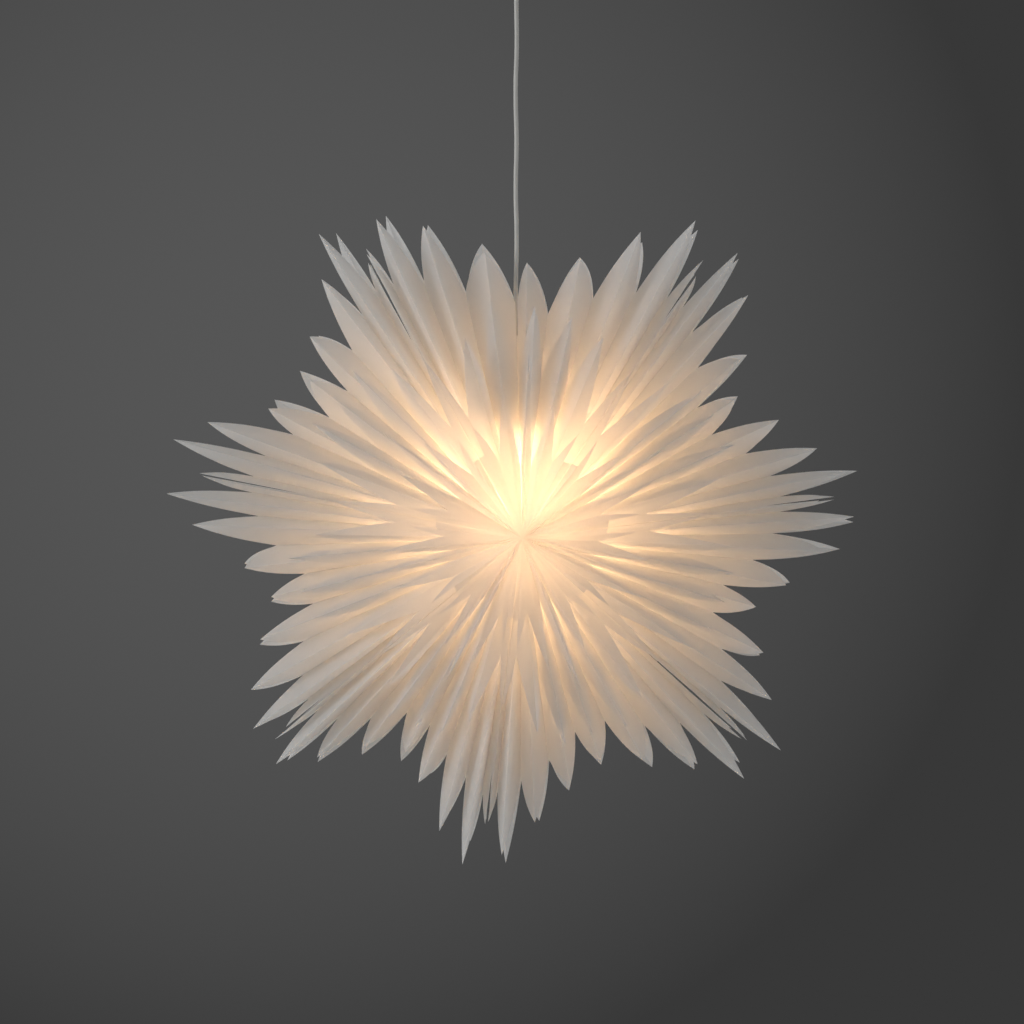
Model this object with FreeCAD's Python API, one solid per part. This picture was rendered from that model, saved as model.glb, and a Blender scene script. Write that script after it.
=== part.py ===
"""Seven-lobed folded paper star pendant on a flex, with its ceiling fitting, lampholder and bulb.

The frame: +Z up, Y front to back with the viewer at -Y, origin on the ceiling at the hook plate's middle.
Lengths are millimetres. A compass direction is in degrees, clockwise from the top as the viewer sees it.
The paper is a ring of eight folded segments round the star's front-to-back axis. Each has three layers of
pleated sheet in front and three behind, all from one point on the axis, and ends in cut leaf tips.
"""

import FreeCAD
import Part
import math
import os

V = FreeCAD.Vector

# ---- the paper star ----------------------------------------------------------------------------------
STAR_DROP = 720.0  # ceiling to the star's middle
HALF_DEPTH = 130.0  # the star's middle plane to the point where the outer folds meet
PAPER = 0.8  # a sheet's thickness, measured front to back across its steep folds
# The seven lobes, no two quite alike: compass directions, and reaches of the longest tips from the axis.
LOBE_COMPASS = (34.5, 83.5, 132.0, 186.0, 230.1, 280.8, 331.6)
LOBE_REACHES = (410.0, 401.0, 385.0, 374.0, 390.0, 402.0, 408.0)
LOBES = tuple(zip(LOBE_COMPASS, LOBE_REACHES))
FULL_TURN = 360  # degrees
CELLS = 4  # folds from the middle of a segment to the lobe at its end
CROWDING = 0.55  # how far the folds draw together towards a lobe, from 0 to 1
CLOSURE_FOLD = -0.5  # the fold of the top segment where the star opens
SEAM_HALF_GAP = 0.25  # degrees between a segment's cut end and the lobe's middle
TIP_POINTS = 4  # straight bits in a leaf's edge, outer sheets
PETAL_POINTS = 3  # the same, on the shorter petals
# A leaf edge's control point: share of the tip's vector, and share of the notch's vector.
OUTER_BULGE = (0.41, 0.64)
PETAL_BULGE = (0.48, 0.60)

# A fold: place in cells from the segment's middle, reach as a share of the lobes' reach, and depth of its
# outer end as a share of HALF_DEPTH. Tips are folded towards the viewer, notches away from the viewer.
OUTER_TIPS = ((0, 0.757, 0.138), (1, 0.815, 0.138), (2, 0.92, 0.138), (3, 1.0, 0.138), (4, 0.91, 0.138))
OUTER_NOTCHES = ((0.5, 0.63, 0.0), (1.5, 0.70, 0.0), (2.5, 0.75, 0.0), (3.5, 0.77, 0.0))
CLOSURE_REACH = 0.69  # the outer sheets' notch at the closure, where the flex comes out
MIDDLE_TIPS = ((0, 0.66, 0.446), (1, 0.65, 0.477), (2, 0.595, 0.577), (4, 0.54, 0.615))
MIDDLE_NOTCHES = ((0.5, 0.45, 0.423), (1.5, 0.42, 0.477), (3, 0.36, 0.738))
INNER_TIPS = ((0, 0.50, 0.708), (1, 0.39, 0.80), (3, 0.333, 0.846))
INNER_NOTCHES = ((0.5, 0.20, 0.831), (2, 0.22, 0.885))
INNER_CUT = (4, 0.246, 0.877)  # where the innermost sheet is cut square beside a lobe
INNER_CUT_FOLD = 3  # the fold that the square cut starts from

# ---- seams and the closing boards --------------------------------------------------------------------
RIB_THICK = 1.0
RIB_WIDTH = 9.0
RIB_START = 60.0  # from the axis
RIB_REACH = 0.56  # share of the lobe's reach
RIB_SEAT = 0.8  # clearance behind the sheets
BOARD_THICK = 1.0
BOARD_HALF_GAP = 0.5  # half the gap between the two boards
BOARD_SEAT = 0.15  # clearance behind the sheets
BOARD_RISE = 118.0  # a board's height above its collar
COLLAR_WIDTH = 34.0  # from the middle to the collar's edge
COLLAR_CLEARANCE = 0.6  # round the lampholder
HOLDER_SLOT_CLEARANCE = 3.0  # from the lampholder to the boards
HOLDER_SLOT_HEAD = 6.0  # above the lampholder
CORD_SLOT = 5.0  # half the slot for the flex
BRAD_SHANK_R = 1.0
BRAD_HEAD_R = 3.5
BRAD_HEAD_THICK = 0.8
BRAD_LEG = 9.0
BRAD_LEG_WIDTH = 1.6
BRAD_HOLE_CLEARANCE = 0.2
BRAD_PLACES = ((50.0, 29.0), (88.0, 15.0))  # above the collar, and front or back of the middle

# ---- bulb: heights above the star's middle -----------------------------------------------------------
BULB_CENTRE = 52.0
BULB_R = 30.0
BULB_NECK_ANGLE = 35.0  # degrees above the globe's widest ring, where the neck leaves it
BULB_NECK_R = 12.3
BULB_NECK = 8.0  # straight part of the neck, inside the cap
BULB_GLASS = 1.0
BULB_CAP_R = 13.2
BULB_CAP_BOTTOM = 101.0
BULB_CAP_SHOULDER = 122.0
BULB_CAP_END = 3.0  # from the shoulder to the cap's end
BULB_CAP_TOP = BULB_CAP_SHOULDER + BULB_CAP_END
BULB_CAP_END_R = 7.0
BULB_CAP_WALL = 0.8
BULB_THREADS = 5
BULB_THREAD_DEPTH = 0.7
BULB_TIP_R = 4.6
BULB_TIP = 1.0  # the solder contact's height above the cap's end

# ---- lampholder: heights above the star's middle -----------------------------------------------------
CONTACT_R = 4.0
CONTACT_DROP = 2.0  # the middle contact, down from the insert to the bulb's own contact
INSERT_BOTTOM = BULB_CAP_TOP + BULB_TIP + CONTACT_DROP
INSERT_THICK = 9.0
INSERT_CLEARANCE = 0.1
SHELL_BOTTOM = 95.0
SHELL_TOP = INSERT_BOTTOM + INSERT_THICK
SHELL_R = 20.0
SHELL_BORE_R = 16.0
SHELL_SHOULDER = 4.0
CAP_R = 21.0
CAP_HEIGHT = 22.0
CAP_TOP = SHELL_TOP + CAP_HEIGHT
CAP_FULLNESS = 0.82  # the dome's radius halfway up, as a share of the cap's
CAP_NECK_R = 6.5
CAP_NECK = 7.0
CAP_WALL = 2.0
CORD_SCREW_R = 2.0
CORD_SCREW_HEAD_R = 3.0
CORD_SCREW_HEAD = 2.0
CORD_SCREW_SEAT = 0.05
RING_BOTTOM = 103.0
RING_TOP = 112.0
RING_BORE_CLEARANCE = 0.3
RING_WALL = 2.4
RING_FLANGE_R = 28.0
RING_FLANGE = 2.5
RING_GRIPS = 12
RING_GRIP_R = 1.6
SLEEVE_BOTTOM = 104.0
SLEEVE_R = 14.6
SLEEVE_WALL = 0.8

# ---- ceiling fitting: depths below the ceiling -------------------------------------------------------
PLATE_LENGTH = 72.0
PLATE_WIDTH = 24.0
PLATE_THICK = 1.5
SCREW_SPACING = 50.0
SCREW_HOLE_R = 2.25
HOOK_WIRE_R = 2.0
HOOK_R = 8.0
HOOK_SEAT = 24.0  # ceiling to the middle of the hook's wire, where the pendant swings
HOOK_LIP = 4.0
EYE_WIRE_R = 1.8
EYE_R = 5.0
EYE_SEAT = 0.1
HANGER_TOP = 30.0
HANGER_BOTTOM = 50.0
HANGER_WIDTH = 14.0
HANGER_DEPTH = 10.0
BLOCK_NEAR = 12.0  # the terminal block's near face, from the middle
BLOCK_WIDTH = 12.0
BLOCK_DEPTH = 16.0
BLOCK_TOP = 18.0
BLOCK_BOTTOM = 34.0
BLOCK_SCREW_R = 1.6
BLOCK_SCREW_PROUD = 1.0
LEAD_R = 1.1
LEAD_HALF_SPACING = 4.0
LEAD_DEPTH = 43.0
LEAD_BEND = 5.0
CUP_RIM_R = 45.0
CUP_RIM = 5.0
CUP_RIM_BAND = 7.0
CUP_BELLY_R = 38.0
CUP_BELLY = 44.0
CUP_FLOOR = 62.0
CUP_FLOOR_R = 12.0
CUP_NECK_R = 9.0
CUP_NECK_END = 74.0
CUP_WALL = 2.0
CUP_BORE_CLEARANCE = 0.7
GRIP_SCREW_R = 2.0
GRIP_SCREW_CLEARANCE = 0.05
GRIP_SCREW_HEAD_R = 3.6
GRIP_SCREW_HEAD = 4.0
GRIP_SCREW_SEAT = 0.2

# ---- the flex: pulled straight by the star's weight --------------------------------------------------
CORD_R = 2.5
CORD_SEAT = 0.2  # clearance under the hanger that grips it


# ---- helpers -----------------------------------------------------------------------------------------
def save(name, shape):
    """Writes one node, after checking that every solid in it is sound."""
    for solid in shape.Solids:
        if not solid.isValid() or solid.Volume <= 0:
            raise ValueError(name + " has a faulty solid")
    shape.exportStep(os.path.join("parts", name + ".step"))
    print(name, len(shape.Solids), "solids", round(shape.Volume), "mm3")


def direction(compass):
    """The unit vector across the star's plane at a compass direction."""
    angle = math.radians(compass)
    return V(math.sin(angle), 0, math.cos(angle))


def mirrored(shape):
    """The same piece on the star's other face."""
    return shape.mirror(V(0, 0, 0), V(0, 1, 0))


def lifted(shape):
    """Moves a shape made about the star's middle to where the star hangs."""
    return shape.translated(V(0, 0, -STAR_DROP))


def revolved(points):
    """A solid of revolution about Z from a closed outline of (radius, height)."""
    corners = [V(r, 0, z) for r, z in points]
    face = Part.Face(Part.makePolygon(corners + corners[:1]))
    return face.revolve(V(0, 0, 0), V(0, 0, 1), FULL_TURN)


def revolved_edges(edges):
    """A solid of revolution about Z from the edges of a closed outline."""
    return Part.Face(Part.Wire(edges)).revolve(V(0, 0, 0), V(0, 0, 1), FULL_TURN)


def rod(radius, start, end):
    """A round rod between two points."""
    return Part.makeCylinder(radius, (end - start).Length, start, end - start)


def block(low, high):
    """A box between two corners."""
    size = high - low
    return Part.makeBox(size.x, size.y, size.z, low)


# ---- folded sheets -----------------------------------------------------------------------------------
def fold_direction(segment, cell):
    """The compass direction of a fold: folds draw together towards the lobes."""
    first, last = segment["ends"]
    share = cell / CELLS
    share = (1 - CROWDING) * share + CROWDING * math.sin(share * math.pi / 2)
    compass = (first[0] + last[0]) / 2 + share * (last[0] - first[0]) / 2
    if segment["closure"] and cell == CLOSURE_FOLD:
        compass = 0.0
    if cell == segment["from"]:
        compass += SEAM_HALF_GAP
    if cell == segment["to"]:
        compass -= SEAM_HALF_GAP
    return compass


def local_reach(segment, cell):
    """The lobes' reach, shared between the two lobes beside the fold."""
    first, last = segment["ends"]
    share = (cell / CELLS + 1) / 2
    return first[1] + share * (last[1] - first[1])


def fold_end(segment, fold, layer):
    """The outer end of a fold, from the point where its layer's folds meet."""
    cell, reach, depth = fold
    if layer == 0 and segment["closure"] and cell == CLOSURE_FOLD:
        reach = CLOSURE_REACH
    radius = reach * local_reach(segment, cell)
    end_y = -max(HALF_DEPTH * depth, PAPER) if layer == 0 else -HALF_DEPTH * depth - layer * PAPER
    start_y = -HALF_DEPTH - layer * PAPER
    return direction(fold_direction(segment, cell)) * radius + V(0, end_y - start_y, 0)


def both_sides(folds):
    """A segment's folds on both sides of its middle."""
    return [(-cell, reach, depth) for cell, reach, depth in folds if cell] + list(folds)


def leaf_edge(notch, tip, bulge, bits):
    """Points of a leaf's curved edge from its notch to its tip, in the plane of the fold's facet."""
    control = tip * bulge[0] + notch * bulge[1]
    points = []
    for step in range(bits + 1):
        t = step / bits
        points.append(notch * (1 - t) ** 2 + control * (2 * t * (1 - t)) + tip * t**2)
    return points


def facets(segment, tips, notches, layer, bits, cut=None):
    """The flat facets of one pleated sheet, each a list of points from the sheet's own apex."""
    named = [(fold, "tip") for fold in both_sides(tips)]
    named += [(fold, "notch") for fold in both_sides(notches)]
    if cut:
        named += [(fold, "cut") for fold in both_sides([cut])]
    named = [entry for entry in named if segment["from"] <= entry[0][0] <= segment["to"]]
    named.sort(key=lambda entry: entry[0][0])
    apex = V(0, 0, 0)
    cut_share = cut[1] / next(reach for cell, reach, depth in tips if cell == INNER_CUT_FOLD) if cut else 0
    found = []
    for (left, left_kind), (right, right_kind) in zip(named, named[1:]):
        ends = {left_kind: fold_end(segment, left, layer), right_kind: fold_end(segment, right, layer)}
        if "cut" in ends:
            square = ends["tip"] * cut_share
            outline = [square, ends["cut"]] if right_kind == "cut" else [ends["cut"], square]
            found.append([apex] + outline)
            continue
        edge = leaf_edge(ends["notch"], ends["tip"], PETAL_BULGE if layer else OUTER_BULGE, bits)
        if cut and INNER_CUT_FOLD in (abs(left[0]), abs(right[0])):
            edge.append(ends["tip"] * cut_share)
        found.append([apex] + (edge if left_kind == "notch" else edge[::-1]))
    return found


def sheet_solid(polygons, layer):
    """A pleated sheet: the facets, the same facets one thickness further back, and its cut edges."""
    start = V(0, -HALF_DEPTH - layer * PAPER, 0)
    back = V(0, PAPER, 0)

    def key(point):
        return (round(point.x, 4), round(point.y, 4), round(point.z, 4))

    used = {}
    faces = []
    for polygon in polygons:
        placed = [start + point for point in polygon]
        loop = placed + placed[:1]
        faces.append(Part.Face(Part.makePolygon(loop)))
        faces.append(Part.Face(Part.makePolygon([point + back for point in loop])))
        for a, b in zip(loop, loop[1:]):
            used.setdefault(frozenset((key(a), key(b))), []).append((a, b))
    for sides in used.values():
        if len(sides) == 1:
            a, b = sides[0]
            faces.append(Part.Face(Part.makePolygon([a, b, b + back, a + back, a])))
    solid = Part.Solid(Part.Shell(faces))
    if solid.Volume < 0:
        solid.reverse()
    return solid


def outer_sheet(segment):
    """The long-tipped sheet that the whole star is built on."""
    return sheet_solid(facets(segment, OUTER_TIPS, OUTER_NOTCHES, 0, TIP_POINTS), 0)


def middle_sheet(segment):
    """The layer of shorter petals in front of the outer sheet."""
    return sheet_solid(facets(segment, MIDDLE_TIPS, MIDDLE_NOTCHES, 1, PETAL_POINTS), 1)


def inner_sheet(segment):
    """The layer of shortest petals, nearest the viewer, cut square beside each lobe."""
    return sheet_solid(facets(segment, INNER_TIPS, INNER_NOTCHES, 2, PETAL_POINTS, INNER_CUT), 2)


def segments():
    """The star's segments, clockwise from the closure at the top."""
    top = (LOBES[-1][0] - FULL_TURN, LOBES[-1][1])
    found = [{"ends": (top, LOBES[0]), "closure": True, "from": CLOSURE_FOLD, "to": CELLS}]
    for first, last in zip(LOBES, LOBES[1:]):
        found.append({"ends": (first, last), "closure": False, "from": -CELLS, "to": CELLS})
    found.append({"ends": (top, LOBES[0]), "closure": True, "from": -CELLS, "to": CLOSURE_FOLD})
    return found


def save_segments():
    """Every segment's outer sheets and petals, front and back, clear of the flex at the closure."""
    flex_way = Part.makeCylinder(CORD_SLOT, 2 * HALF_DEPTH, V(0, 0, HALF_DEPTH))
    for number, segment in enumerate(segments(), 1):
        outer = outer_sheet(segment)
        if segment["closure"]:
            outer = outer.cut(flex_way)
        petals = Part.Compound([middle_sheet(segment), inner_sheet(segment)])
        name = "segment_%d_" % number
        save(name + "outer_front", lifted(outer))
        save(name + "outer_back", lifted(mirrored(outer)))
        save(name + "petals_front", lifted(petals))
        save(name + "petals_back", lifted(mirrored(petals)))


def save_ribs():
    """The folded card ribs that join two segments behind each lobe, a strip in front and one behind."""
    end_reach, end_depth = OUTER_TIPS[-1][1:]
    for number, (compass, reach) in enumerate(LOBES, 1):
        slope = HALF_DEPTH * (1 - end_depth) / (end_reach * reach)
        stop = RIB_REACH * reach
        seat = -HALF_DEPTH + PAPER + RIB_SEAT
        outline = [
            V(-RIB_THICK / 2, seat + slope * RIB_START, RIB_START),
            V(-RIB_THICK / 2, seat + slope * stop, stop),
            V(-RIB_THICK / 2, seat + slope * stop + RIB_WIDTH, stop),
            V(-RIB_THICK / 2, seat + slope * RIB_START + RIB_WIDTH, RIB_START),
        ]
        strip = Part.Face(Part.makePolygon(outline + outline[:1])).extrude(V(RIB_THICK, 0, 0))
        strip = strip.rotated(V(0, 0, 0), V(0, 1, 0), compass)
        save("seam_rib_%d" % number, lifted(Part.Compound([strip, mirrored(strip)])))


# ---- the closing boards ------------------------------------------------------------------------------
def closing_board():
    """The right-hand board: a half collar round the lampholder and two uprights behind the sheets."""
    collar_hole_r = SHELL_R + COLLAR_CLEARANCE
    near, far = BOARD_HALF_GAP, BOARD_HALF_GAP + BOARD_THICK
    floor, ceiling = RING_TOP, RING_TOP + BOARD_THICK
    top = ceiling + BOARD_RISE
    right_of_closure = segments()[0]
    slope = (HALF_DEPTH - PAPER) / (CLOSURE_REACH * local_reach(right_of_closure, CLOSURE_FOLD))

    def edge(height):
        return HALF_DEPTH - slope * height - PAPER - BOARD_SEAT

    collar = block(V(near, -edge(ceiling), floor), V(COLLAR_WIDTH, edge(ceiling), ceiling))
    corner = Part.makeCylinder(edge(ceiling), BOARD_THICK, V(0, 0, floor))
    collar = collar.common(corner).cut(Part.makeCylinder(collar_hole_r, BOARD_THICK, V(0, 0, floor)))
    slot_side = CAP_R + HOLDER_SLOT_CLEARANCE
    slot_top = CAP_TOP + HOLDER_SLOT_HEAD
    outline = [
        V(near, -edge(ceiling), ceiling),
        V(near, -slot_side, ceiling),
        V(near, -slot_side, slot_top),
        V(near, -CORD_SLOT, slot_top),
        V(near, -CORD_SLOT, top),
        V(near, -edge(top), top),
    ]
    upright = Part.Face(Part.makePolygon(outline + outline[:1])).extrude(V(far - near, 0, 0))
    board = collar.fuse([upright, mirrored(upright)])
    for height, side in BRAD_PLACES:
        for y in (-side, side):
            z = ceiling + height
            board = board.cut(rod(BRAD_SHANK_R + BRAD_HOLE_CLEARANCE, V(0, y, z), V(2 * far, y, z)))
    return board.removeSplitter()


def brad(y, z):
    """A split pin through both boards, its head on the right and its legs opened on the left."""
    far = BOARD_HALF_GAP + BOARD_THICK
    head = rod(BRAD_HEAD_R, V(far, y, z), V(far + BRAD_HEAD_THICK, y, z))
    shank = rod(BRAD_SHANK_R, V(-far, y, z), V(far, y, z))
    leg_half = BRAD_LEG_WIDTH / 2
    legs = block(V(-far - BRAD_HEAD_THICK, y - leg_half, z - BRAD_LEG), V(-far, y + leg_half, z + BRAD_LEG))
    return head.fuse([shank, legs])


def save_closure():
    """The two boards and the split pins that hold the star shut round the lampholder."""
    board = closing_board()
    save("closing_board_right", lifted(board))
    save("closing_board_left", lifted(board.mirror(V(0, 0, 0), V(1, 0, 0))))
    pins = []
    for height, side in BRAD_PLACES:
        z = RING_TOP + BOARD_THICK + height
        pins += [brad(-side, z), brad(side, z)]
    save("closing_pins", lifted(Part.Compound(pins)))


# ---- lampholder --------------------------------------------------------------------------------------
def holder_cap():
    """The domed cap, with the neck that the flex hangs it by."""
    neck_foot = CAP_TOP - CAP_NECK
    dome = [
        Part.LineSegment(V(0, 0, SHELL_TOP + CAP_WALL), V(0, 0, CAP_TOP)).toShape(),
        Part.LineSegment(V(0, 0, CAP_TOP), V(CAP_NECK_R, 0, CAP_TOP)).toShape(),
        Part.LineSegment(V(CAP_NECK_R, 0, CAP_TOP), V(CAP_NECK_R, 0, neck_foot)).toShape(),
        Part.Arc(
            V(CAP_NECK_R, 0, neck_foot),
            V(CAP_FULLNESS * CAP_R, 0, (neck_foot + SHELL_TOP) / 2 + CAP_WALL),
            V(CAP_R, 0, SHELL_TOP),
        ).toShape(),
        Part.LineSegment(V(CAP_R, 0, SHELL_TOP), V(SHELL_BORE_R, 0, SHELL_TOP)).toShape(),
        Part.LineSegment(V(SHELL_BORE_R, 0, SHELL_TOP), V(SHELL_BORE_R, 0, SHELL_TOP + CAP_WALL)).toShape(),
        Part.LineSegment(V(SHELL_BORE_R, 0, SHELL_TOP + CAP_WALL), V(0, 0, SHELL_TOP + CAP_WALL)).toShape(),
    ]
    cap = revolved_edges(dome)
    height = CAP_TOP - CAP_NECK / 2
    hole = rod(CORD_SCREW_R + CORD_SCREW_SEAT, V(0, CORD_R, height), V(0, 2 * CAP_NECK_R, height))
    return cap.cut(hole)


def cord_screw():
    """The plastic screw that clamps the flex in the cap's neck."""
    height = CAP_TOP - CAP_NECK / 2
    shank = rod(CORD_SCREW_R, V(0, CORD_R + CORD_SCREW_SEAT, height), V(0, CAP_NECK_R, height))
    head_start = CAP_NECK_R + CORD_SCREW_SEAT
    head = rod(CORD_SCREW_HEAD_R, V(0, head_start, height), V(0, head_start + CORD_SCREW_HEAD, height))
    link = rod(CORD_SCREW_R, V(0, CAP_NECK_R, height), V(0, head_start, height))
    return shank.fuse([link, head]).removeSplitter()


def holder_shell():
    """The lampholder's outer shell, with the shoulder under its cap."""
    return revolved(
        [
            (SHELL_BORE_R, SHELL_BOTTOM),
            (SHELL_R, SHELL_BOTTOM),
            (SHELL_R, SHELL_TOP - SHELL_SHOULDER),
            (CAP_R, SHELL_TOP - SHELL_SHOULDER),
            (CAP_R, SHELL_TOP),
            (SHELL_BORE_R, SHELL_TOP),
        ]
    )


def contact_insert():
    """The insert inside the shell that carries the contacts, with the middle contact under it."""
    disc = Part.makeCylinder(SHELL_BORE_R - INSERT_CLEARANCE, INSERT_THICK, V(0, 0, INSERT_BOTTOM))
    contact = Part.makeCylinder(CONTACT_R, CONTACT_DROP, V(0, 0, INSERT_BOTTOM - CONTACT_DROP))
    return Part.Compound([disc, contact])


def thread_sleeve():
    """The metal sleeve that the bulb screws into."""
    tall = INSERT_BOTTOM - SLEEVE_BOTTOM
    sleeve = Part.makeCylinder(SLEEVE_R, tall, V(0, 0, SLEEVE_BOTTOM))
    return sleeve.cut(Part.makeCylinder(SLEEVE_R - SLEEVE_WALL, tall, V(0, 0, SLEEVE_BOTTOM)))


def shade_ring():
    """The screwed ring under the collar, with grip flutes round its flange."""
    bore = SHELL_R + RING_BORE_CLEARANCE
    flange_foot = RING_TOP - RING_FLANGE
    ring = revolved(
        [
            (bore, RING_BOTTOM),
            (bore + RING_WALL, RING_BOTTOM),
            (bore + RING_WALL, flange_foot),
            (RING_FLANGE_R, flange_foot),
            (RING_FLANGE_R, RING_TOP),
            (bore, RING_TOP),
        ]
    )
    for step in range(RING_GRIPS):
        angle = 2 * math.pi * step / RING_GRIPS
        place = V(RING_FLANGE_R * math.cos(angle), RING_FLANGE_R * math.sin(angle), flange_foot)
        ring = ring.cut(Part.makeCylinder(RING_GRIP_R, RING_FLANGE, place))
    return ring


def bulb_cap():
    """The bulb's screw cap, with its thread as rings."""
    bore = BULB_CAP_R - BULB_CAP_WALL - BULB_THREAD_DEPTH
    points = [(bore, BULB_CAP_BOTTOM), (BULB_CAP_R, BULB_CAP_BOTTOM)]
    pitch = (BULB_CAP_SHOULDER - BULB_CAP_BOTTOM) / (BULB_THREADS + 0.5)
    for ring in range(BULB_THREADS):
        foot = BULB_CAP_BOTTOM + (ring + 0.5) * pitch
        points += [(BULB_CAP_R - BULB_THREAD_DEPTH, foot), (BULB_CAP_R, foot + pitch / 2)]
    points += [(BULB_CAP_R - BULB_THREAD_DEPTH, BULB_CAP_SHOULDER), (BULB_CAP_END_R, BULB_CAP_TOP)]
    points += [(BULB_TIP_R, BULB_CAP_TOP), (BULB_TIP_R, BULB_CAP_TOP - BULB_CAP_WALL)]
    points += [(bore, BULB_CAP_SHOULDER - BULB_CAP_WALL)]
    return revolved(points)


def bulb_tip():
    """The insulator and the solder contact at the bulb's end."""
    foot = BULB_CAP_TOP - 2 * BULB_CAP_WALL
    return revolved([(0, foot), (BULB_TIP_R, foot), (BULB_TIP_R, BULB_CAP_TOP), (0, BULB_CAP_TOP + BULB_TIP)])


def bulb_glass():
    """The glass: a globe that runs into a neck held in the cap."""

    def side(radius, neck_radius):
        def on_globe(angle):
            lift = math.radians(angle)
            return V(radius * math.cos(lift), 0, BULB_CENTRE + radius * math.sin(lift))

        crown = on_globe(-FULL_TURN / 4)
        shoulder = on_globe(BULB_NECK_ANGLE)
        foot = V(neck_radius, 0, BULB_CAP_BOTTOM - BULB_NECK)
        top = V(neck_radius, 0, BULB_CAP_BOTTOM)
        return [
            Part.Arc(crown, on_globe(-FULL_TURN / 8), on_globe(0)).toShape(),
            Part.Arc(on_globe(0), on_globe(BULB_NECK_ANGLE / 2), shoulder).toShape(),
            Part.LineSegment(shoulder, foot).toShape(),
            Part.LineSegment(foot, top).toShape(),
        ], top, crown

    outer, outer_top, outer_crown = side(BULB_R, BULB_NECK_R)
    inner, inner_top, inner_crown = side(BULB_R - BULB_GLASS, BULB_NECK_R - BULB_GLASS)
    rim = Part.LineSegment(outer_top, inner_top).toShape()
    pole = Part.LineSegment(inner_crown, outer_crown).toShape()
    return revolved_edges(outer + [rim] + inner[::-1] + [pole])


def save_lampholder():
    """The lampholder and the bulb in it."""
    save("holder_cap", lifted(holder_cap()))
    save("holder_cord_screw", lifted(cord_screw()))
    save("holder_shell", lifted(holder_shell()))
    save("contact_insert", lifted(contact_insert()))
    save("thread_sleeve", lifted(thread_sleeve()))
    save("shade_ring", lifted(shade_ring()))
    save("bulb_cap", lifted(bulb_cap()))
    save("bulb_tip", lifted(bulb_tip()))
    save("bulb_glass", lifted(bulb_glass()))


# ---- ceiling fitting ---------------------------------------------------------------------------------
def ceiling_plate():
    """The steel strap against the ceiling, with a screw hole near each end."""
    half = PLATE_LENGTH / 2 - PLATE_WIDTH / 2
    plate = block(V(-half, -PLATE_WIDTH / 2, -PLATE_THICK), V(half, PLATE_WIDTH / 2, 0))
    ends = [Part.makeCylinder(PLATE_WIDTH / 2, PLATE_THICK, V(x, 0, -PLATE_THICK)) for x in (-half, half)]
    plate = plate.fuse(ends).removeSplitter()
    for x in (-SCREW_SPACING / 2, SCREW_SPACING / 2):
        plate = plate.cut(Part.makeCylinder(SCREW_HOLE_R, PLATE_THICK, V(x, 0, -PLATE_THICK)))
    return plate


def ceiling_hook():
    """The open hook under the plate, bent from one wire in the front-to-back plane."""
    level = -HOOK_SEAT + HOOK_R
    foot = V(0, HOOK_R, -PLATE_THICK)
    line = Part.LineSegment(foot, V(0, HOOK_R, level)).toShape()
    bend = Part.Arc(V(0, HOOK_R, level), V(0, 0, -HOOK_SEAT), V(0, -HOOK_R, level)).toShape()
    lip = Part.LineSegment(V(0, -HOOK_R, level), V(0, -HOOK_R, level + HOOK_LIP)).toShape()
    section = Part.Wire([Part.makeCircle(HOOK_WIRE_R, foot, V(0, 0, -1))])
    return Part.Wire([line, bend, lip]).makePipeShell([section], True, False)


def cord_hanger():
    """The strain relief that hangs in the hook by its eye and grips the flex."""
    eye_middle = -HOOK_SEAT + HOOK_WIRE_R + EYE_SEAT + EYE_WIRE_R - EYE_R
    eye = Part.makeTorus(EYE_R, EYE_WIRE_R, V(0, 0, eye_middle), V(0, 1, 0))
    low = V(-HANGER_WIDTH / 2, -HANGER_DEPTH / 2, -HANGER_BOTTOM)
    body = block(low, V(HANGER_WIDTH / 2, HANGER_DEPTH / 2, -HANGER_TOP))
    upright = [edge for edge in body.Edges if abs(edge.Vertexes[0].Z - edge.Vertexes[1].Z) > 1]
    body = body.makeFillet(HANGER_DEPTH / 4, upright)
    return body.fuse(eye)


def terminal_block():
    """The connector beside the hanger, with a clamp screw for each core."""
    low = V(BLOCK_NEAR, -BLOCK_DEPTH / 2, -BLOCK_BOTTOM)
    body = block(low, V(BLOCK_NEAR + BLOCK_WIDTH, BLOCK_DEPTH / 2, -BLOCK_TOP))
    middle = (BLOCK_TOP + BLOCK_BOTTOM) / 2
    far = BLOCK_NEAR + BLOCK_WIDTH
    screws = [
        rod(BLOCK_SCREW_R, V(far, y, -middle), V(far + BLOCK_SCREW_PROUD, y, -middle))
        for y in (-LEAD_HALF_SPACING, LEAD_HALF_SPACING)
    ]
    return body.fuse(screws)


def lead_wires():
    """The two cores from the hanger up into the terminal block."""
    rise_x = BLOCK_NEAR + BLOCK_WIDTH / 2
    leads = []
    for y in (-LEAD_HALF_SPACING, LEAD_HALF_SPACING):
        start = V(HANGER_WIDTH / 2, y, -LEAD_DEPTH)
        bend_in = V(rise_x - LEAD_BEND, y, -LEAD_DEPTH)
        bend_out = V(rise_x, y, -LEAD_DEPTH + LEAD_BEND)
        offset = LEAD_BEND * (1 - math.sqrt(0.5))
        bend_middle = V(rise_x - offset, y, -LEAD_DEPTH + offset)
        path = [Part.LineSegment(start, bend_in).toShape()]
        path.append(Part.Arc(bend_in, bend_middle, bend_out).toShape())
        path.append(Part.LineSegment(bend_out, V(rise_x, y, -BLOCK_BOTTOM)).toShape())
        section = Part.Wire([Part.makeCircle(LEAD_R, start, V(1, 0, 0))])
        leads.append(Part.Wire(path).makePipeShell([section], True, False))
    return Part.Compound(leads)


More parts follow.
